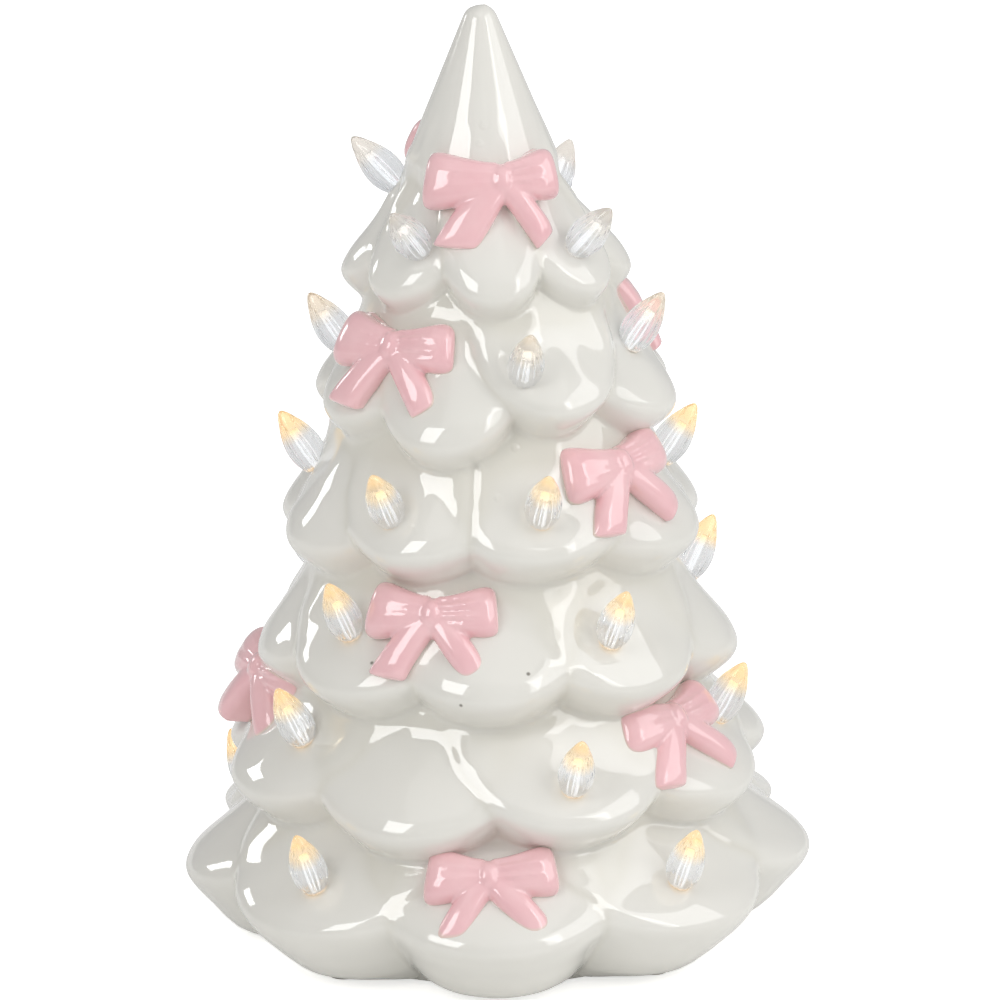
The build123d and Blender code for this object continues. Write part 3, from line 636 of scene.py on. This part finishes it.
def addSpots(nodes, links, spots, edge):
    # soft round spots about given places, as one mask
    place = nodes.new("ShaderNodeTexCoord").outputs["Object"]
    total = None
    for azimuth, height, size in spots:
        far = nodes.new("ShaderNodeVectorMath")
        far.operation = "DISTANCE"
        far.inputs[1].default_value = treePoint(azimuth, height) * mm
        links.new(place, far.inputs[0])
        soft = nodes.new("ShaderNodeMapRange")
        soft.interpolation_type = "SMOOTHSTEP"
        soft.inputs["From Min"].default_value, soft.inputs["From Max"].default_value = size * edge * mm, size * mm
        soft.inputs["To Min"].default_value, soft.inputs["To Max"].default_value = 1, 0
        links.new(far.outputs["Value"], soft.inputs["Value"])
        if total is None:
            total = soft.outputs["Result"]
        else:
            join = nodes.new("ShaderNodeMath")
            join.operation = "MAXIMUM"
            links.new(total, join.inputs[0])
            links.new(soft.outputs["Result"], join.inputs[1])
            total = join.outputs[0]
    return total


def makeWhiteGlaze():
    material, nodes, links, shader = newMaterial("whiteGlaze")
    wavy = addUnevenness(nodes, 16, 3)
    body = addRamp(nodes, links, wavy.outputs["Mask"], ((0.30, (0.79, 0.775, 0.72)), (0.70, (0.835, 0.82, 0.77))))
    # darker, greyer colour in the creases: partly real glaze pooling, partly painted shade
    pooledAndShaded = mixColours(nodes, links, attributeValue(nodes, "glazePool"), body.outputs["Color"], (0.76, 0.74, 0.67))
    specked = mixColours(nodes, links, addSpots(nodes, links, glazeSpecks, 0.3), pooledAndShaded, (0.22, 0.20, 0.17))
    links.new(specked, shader.inputs["Base Color"])
    rough = addRamp(nodes, links, wavy.outputs["Height"], ((0.3, (0.03,) * 3), (0.7, (0.07,) * 3)))
    links.new(rough.outputs["Color"], shader.inputs["Roughness"])
    shader.inputs["IOR"].default_value = 1.6
    shader.inputs["Coat Weight"].default_value = 0.7
    shader.inputs["Coat Roughness"].default_value = 0.01
    blister = nodes.new("ShaderNodeMath")
    blister.operation = "MULTIPLY_ADD"
    blister.inputs[1].default_value = 1.6
    links.new(addSpots(nodes, links, glazeBlisters, 0.2), blister.inputs[0])
    links.new(wavy.outputs["Height"], blister.inputs[2])
    addBump(nodes, links, blister.outputs[0], shader, 0.00009)
    return material


def makePinkGlaze():
    material, nodes, links, shader = newMaterial("pinkGlaze")
    wavy = addUnevenness(nodes, 90, 3)
    body = addRamp(nodes, links, wavy.outputs["Mask"], ((0.30, (0.89, 0.52, 0.55)), (0.70, (0.93, 0.59, 0.61))))
    rise = addRamp(nodes, links, attributeValue(nodes, "glazeRise"), ((0.0, (1, 1, 1)), (0.12, (0, 0, 0))))
    rimmed = mixColours(nodes, links, rise.outputs["Color"], body.outputs["Color"], (0.80, 0.66, 0.58))
    links.new(rimmed, shader.inputs["Base Color"])
    rough = addRamp(nodes, links, wavy.outputs["Height"], ((0.3, (0.08,) * 3), (0.7, (0.14,) * 3)))
    links.new(rough.outputs["Color"], shader.inputs["Roughness"])
    shader.inputs["IOR"].default_value = 1.52
    shader.inputs["Coat Weight"].default_value = 1.0
    shader.inputs["Coat Roughness"].default_value = 0.015
    addBump(nodes, links, wavy.outputs["Height"], shader, 0.00003)
    return material


# Colours of a light peg from its seat to its tip, and what they fade to high in the tree: the amber tint and the
# emission are painted glow of the lamps inside the tree
pegLook = {
    "clear": (0.97, 0.98, 1.0),
    "dim": (0.03, 0.034, 0.038),
    "core": (0.22, 0.225, 0.23),
    "tint": ((0.0, (0.96, 0.84, 0.66)), (0.05, (0.97, 0.98, 1.0)), (0.50, (0.97, 0.98, 1.0)),
             (0.66, (1.0, 0.84, 0.58)), (1.0, (1.0, 0.82, 0.54))),
    "glow": ((0.0, (0.30, 0.17, 0.05)), (0.06, (0.04, 0.044, 0.048)), (0.50, (0.04, 0.044, 0.048)),
             (0.68, (0.24, 0.15, 0.06)), (1.0, (0.32, 0.20, 0.08))),
    "fade": 0.80,
    "fadeHeights": (150, 200),
}


def makeClearPeg():
    material, nodes, links, shader = newMaterial("clearPeg")
    along, lit = attributeValue(nodes, "pegShare"), attributeValue(nodes, "pegGlow")
    # painted glow: the amber base colour, the emission and the grey glow in the bore stand in for lamp light carried
    # into the peg
    amber = addRamp(nodes, links, along, pegLook["tint"])
    tint = mixColours(nodes, links, lit, pegLook["clear"], amber.outputs["Color"])
    links.new(tint, shader.inputs["Base Color"])
    glow = addRamp(nodes, links, along, pegLook["glow"])
    warm = mixColours(nodes, links, lit, pegLook["dim"], glow.outputs["Color"])
    core = mixColours(nodes, links, attributeValue(nodes, "pegCore"), warm, pegLook["core"])
    links.new(core, shader.inputs["Emission Color"])
    shader.inputs["Emission Strength"].default_value = 0.9
    wavy = addUnevenness(nodes, 150, 2)
    rough = addRamp(nodes, links, wavy.outputs["Height"], ((0.3, (0.03,) * 3), (0.7, (0.09,) * 3)))
    links.new(rough.outputs["Color"], shader.inputs["Roughness"])
    shader.inputs["IOR"].default_value = 1.25
    shader.inputs["Transmission Weight"].default_value = 0.82
    shader.inputs["Coat Weight"].default_value = 1.0
    shader.inputs["Coat Roughness"].default_value = 0.02
    return material


def makeMoulded(name, dark, light, roughness, metal=0.0, scale=220, depth=0.00004):
    material, nodes, links, shader = newMaterial(name)
    wavy = addUnevenness(nodes, scale, 4)
    body = addRamp(nodes, links, wavy.outputs["Mask"], ((0.3, dark), (0.7, light)))
    links.new(body.outputs["Color"], shader.inputs["Base Color"])
    low, high = roughness
    rough = addRamp(nodes, links, wavy.outputs["Height"], ((0.3, (low,) * 3), (0.7, (high,) * 3)))
    links.new(rough.outputs["Color"], shader.inputs["Roughness"])
    shader.inputs["Metallic"].default_value = metal
    addBump(nodes, links, wavy.outputs["Height"], shader, depth)
    return material


# Finish of each slot for the parts of the light unit, which keep their own solids
unitFinishes = {
    "unit_plastic": ((0.66, 0.65, 0.61), (0.72, 0.71, 0.67), (0.38, 0.52), 0.0, 400, 0.00005),
    "seal_foam": ((0.06, 0.06, 0.06), (0.12, 0.12, 0.12), (0.85, 0.95), 0.0, 900, 0.0003),
    "pad_felt": ((0.50, 0.48, 0.44), (0.64, 0.62, 0.57), (0.88, 0.98), 0.0, 1400, 0.0003),
    "screw_steel": ((0.50, 0.50, 0.51), (0.62, 0.62, 0.63), (0.22, 0.36), 1.0, 700, 0.00002),
    "contact_nickel": ((0.60, 0.58, 0.53), (0.72, 0.69, 0.63), (0.24, 0.38), 1.0, 500, 0.00002),
    "battery_sleeve": ((0.03, 0.05, 0.10), (0.06, 0.09, 0.16), (0.22, 0.34), 0.0, 260, 0.00002),
    "board_laminate": ((0.02, 0.11, 0.05), (0.04, 0.17, 0.08), (0.34, 0.48), 0.0, 500, 0.00003),
    "lamp_resin": ((0.86, 0.78, 0.52), (0.93, 0.87, 0.66), (0.12, 0.22), 0.0, 300, 0.00002),
    "switch_can": ((0.45, 0.45, 0.46), (0.58, 0.58, 0.59), (0.28, 0.42), 1.0, 500, 0.00002),
    "knob_plastic": ((0.015, 0.015, 0.016), (0.03, 0.03, 0.032), (0.36, 0.50), 0.0, 600, 0.00005),
    "red_insulation": ((0.42, 0.02, 0.02), (0.55, 0.04, 0.03), (0.32, 0.44), 0.0, 500, 0.00003),
    "black_insulation": ((0.012, 0.012, 0.012), (0.03, 0.03, 0.03), (0.32, 0.44), 0.0, 500, 0.00003),
}


def dress(piece, material):
    piece.data.materials.clear()
    piece.data.materials.append(material)


slotOfNode = {part["node"]: part["material_slot"] for part in frame["record"]["subparts"]}

# The tree, its light pegs and its bows
bulbNodes = sorted(node for node in frame["nodes"] if node.startswith("bulb_"))
pegs = [seatOf(node) for node in bulbNodes]
whiteGlaze, pinkGlaze, clearPeg = makeWhiteGlaze(), makePinkGlaze(), makeClearPeg()

tree = makeTree(pegs)
dress(tree, whiteGlaze)
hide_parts("tree_shell")
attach(tree, "tree")
print("stage: tree", len(tree.data.polygons), "faces")

bulbMaster = makeBulb()
for node, (tip, way) in zip(bulbNodes, pegs):
    bulb = copyOf(bulbMaster, node.replace("_", "") + "Clear")
    points = readPoints(bulb)
    share = np.clip(points[:, 2] / bulbForm["length"], 0, 1)
    turned = Vector((0, 0, 1)).rotation_difference(Vector(way)).to_matrix()
    placed = (points - np.array((0, 0, bulbForm["length"]))) @ np.array(turned).T + tip
    writePoints(bulb, placed)
    keepValues(bulb, "pegShare", share)
    # strength of each peg's painted glow, fainter high in the tree
    glow = 1.0 - pegLook["fade"] * float(easeStep(tip[2], *pegLook["fadeHeights"]))  # the lamps sit low in the tree
    keepValues(bulb, "pegGlow", np.full(len(points), glow))
    dress(bulb, clearPeg)
    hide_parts(node)
    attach(bulb, "tree")
bpy.data.objects.remove(bulbMaster)
print("stage: light pegs", len(bulbNodes))

bowMaster = makeBow()
for place in bowPlaces:
    node = place[0]
    bow = placeBow(bowMaster, *place)
    dress(bow, pinkGlaze)
    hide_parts(node)
    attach(bow, "tree")
print("stage: bows", len(bowPlaces), "of", len(bowMaster.data.polygons), "faces")
bpy.data.objects.remove(bowMaster)

finishes = {}
for slot, (dark, light, roughness, metal, scale, depth) in unitFinishes.items():
    first, last = slot.split("_")
    finishes[slot] = makeMoulded(first + last.title(), dark, light, roughness, metal, scale, depth)
for node, piece in frame["nodes"].items():
    if slotOfNode.get(node) in finishes:
        dress(piece, finishes[slotOfNode[node]])
print("stage: light unit finishes", len(finishes))


# Floor and soft studio light
studio = {
    "floor": (0.88, 0.88, 0.87),
    "floorGlow": (0.10, 0.72),
    "air": (0.36, 0.62),
    "aim": (0, 0, 0.13),
    "panels": (
        # name, degrees from the front, elevation, distance, width, height, brightness
        ("leftWindow", -42, 32, 1.5, 0.62, 0.70, 3.7),
        ("leftBack", -124, 17, 1.5, 0.30, 0.26, 4.6),
        ("rightKey", 68, 34, 1.7, 1.3, 1.3, 1.5),
        ("rightStrip", 45, 28, 1.5, 0.24, 1.0, 1.8),
        ("overhead", 0, 74, 1.6, 1.4, 1.4, 0.35),
    ),
}


def addFloor():
    deselectAll()
    bpy.ops.mesh.primitive_circle_add(vertices=96, radius=7, fill_type="NGON", location=(0, 0, 0))
    floor = bpy.context.object
    floor.name = "studioFloor"
    material, nodes, links, shader = newMaterial("paleFloor")
    wavy = addUnevenness(nodes, 3, 2)
    tone = studio["floor"]
    body = addRamp(nodes, links, wavy.outputs["Mask"], ((0.3, tuple(0.985 * c for c in tone)), (0.7, tone)))
    links.new(body.outputs["Color"], shader.inputs["Base Color"])
    shader.inputs["Roughness"].default_value = 0.9
    shader.inputs["Specular IOR Level"].default_value = 0.1
    links.new(body.outputs["Color"], shader.inputs["Emission Color"])
    seen = nodes.new("ShaderNodeLightPath")
    glow = nodes.new("ShaderNodeMapRange")
    glow.inputs["To Min"].default_value, glow.inputs["To Max"].default_value = studio["floorGlow"]
    links.new(seen.outputs["Is Camera Ray"], glow.inputs["Value"])
    links.new(glow.outputs["Result"], shader.inputs["Emission Strength"])
    dress(floor, material)


def addLights():
    world = bpy.data.worlds.new("studioAir")
    scene.world = world
    world.use_nodes = True
    nodes, links = world.node_tree.nodes, world.node_tree.links
    # the air is brighter on the right
    place, apart, bright = (nodes.new("ShaderNode" + kind) for kind in ("TexCoord", "SeparateXYZ", "MapRange"))
    links.new(place.outputs["Generated"], apart.inputs["Vector"])
    links.new(apart.outputs["X"], bright.inputs["Value"])
    bright.inputs["From Min"].default_value, bright.inputs["From Max"].default_value = -1, 1
    bright.inputs["To Min"].default_value, bright.inputs["To Max"].default_value = studio["air"]
    links.new(bright.outputs["Result"], nodes["Background"].inputs["Strength"])
    nodes["Background"].inputs["Color"].default_value = (1.0, 1.0, 1.0, 1)
    aim = Vector(studio["aim"])
    for name, turn, raised, far, wide, tall, bright in studio["panels"]:
        turn, raised = math.radians(turn), math.radians(raised)
        way = Vector((math.sin(turn) * math.cos(raised), -math.cos(turn) * math.cos(raised), math.sin(raised)))
        data = bpy.data.lights.new(name, "AREA")
        data.shape = "RECTANGLE"
        data.size, data.size_y = wide, tall
        data.energy = bright * math.pi * wide * tall
        light = bpy.data.objects.new(name, data)
        light.matrix_world = Matrix.Translation(aim + way * far) @ (-way).to_track_quat("-Z", "Y").to_matrix().to_4x4()
        scene.collection.objects.link(light)


addFloor()
addLights()
scene.view_settings.view_transform = "Standard"
print("stage: floor and light")
